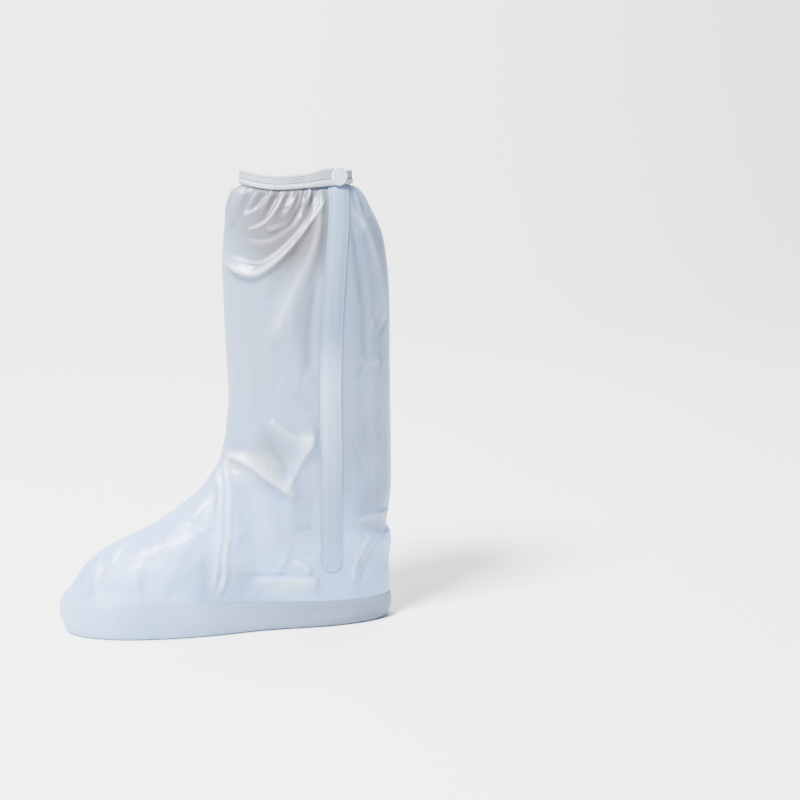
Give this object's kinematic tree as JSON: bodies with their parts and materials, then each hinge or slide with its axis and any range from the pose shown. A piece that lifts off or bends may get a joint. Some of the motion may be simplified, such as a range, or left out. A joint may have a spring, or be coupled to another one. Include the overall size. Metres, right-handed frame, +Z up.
{
  "type": "shoe cover",
  "caption": "High waterproof overshoe of milky vinyl film, with a gathered rim in a folded binding, a side opening under a flap, a press snap, and a sole with an upturned side.",
  "frame": {"origin": "on the floor, under the middle of the cover's bounding box", "axes": "+Z up the leg, -X towards the toe, -Y the outer side with the opening's flap"},
  "size_m": [0.309, 0.1178, 0.4148],
  "materials": {
    "film": "milky, translucent, glossy",
    "flap_film": "milky, translucent, glossy",
    "sole_vinyl": "milky, with a fine crossed emboss on its side",
    "binding_tape": "ribbed elastic tape, matt",
    "snap_plastic": "smooth, slightly glossy"
  },
  "bodies": {
    "root": {"lateral_panel": "film", "medial_panel": "film", "sole": "sole_vinyl", "rim_binding": "binding_tape", "binding_tab": "binding_tape", "snap_cap": "snap_plastic", "snap_socket": "snap_plastic", "zip_flap": "flap_film"}
  },
  "joints": []
}
